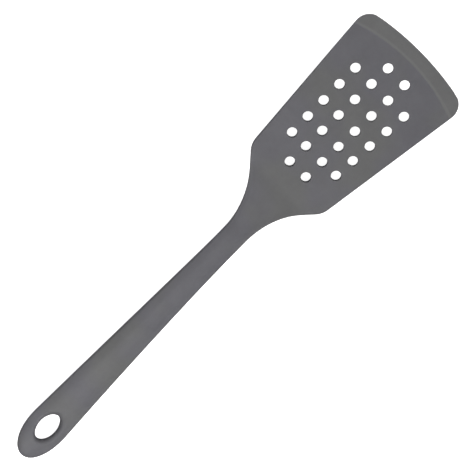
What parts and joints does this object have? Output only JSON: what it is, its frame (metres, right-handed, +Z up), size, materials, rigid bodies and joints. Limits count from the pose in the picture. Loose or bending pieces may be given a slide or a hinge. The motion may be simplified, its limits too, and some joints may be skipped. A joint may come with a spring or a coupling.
{
  "type": "slotted silicone turner",
  "caption": "Slotted turner with a flat perforated blade, bevelled flexible lip, bent neck and long handle with an oval hanging hole, under one silicone skin.",
  "frame": {"origin": "middle of the footprint, on the surface that the turner lies on, resting on its heel and the end of its handle", "axes": "+X along the turner from the hanging hole to the front lip, +Y to its left, +Z up"},
  "size_m": [0.3386, 0.0836, 0.0231],
  "materials": {
    "silicone": "matte moulded silicone, mid grey",
    "spring_steel": "rolled stainless sheet",
    "nylon": "glass-filled nylon, black",
    "rivet_metal": "plain"
  },
  "bodies": {
    "root": {"silicone_skin": "silicone", "blade_core_plate": "spring_steel", "handle_core_upper": "nylon", "handle_core_lower": "nylon", "tang_rivets": "rivet_metal"}
  },
  "joints": []
}
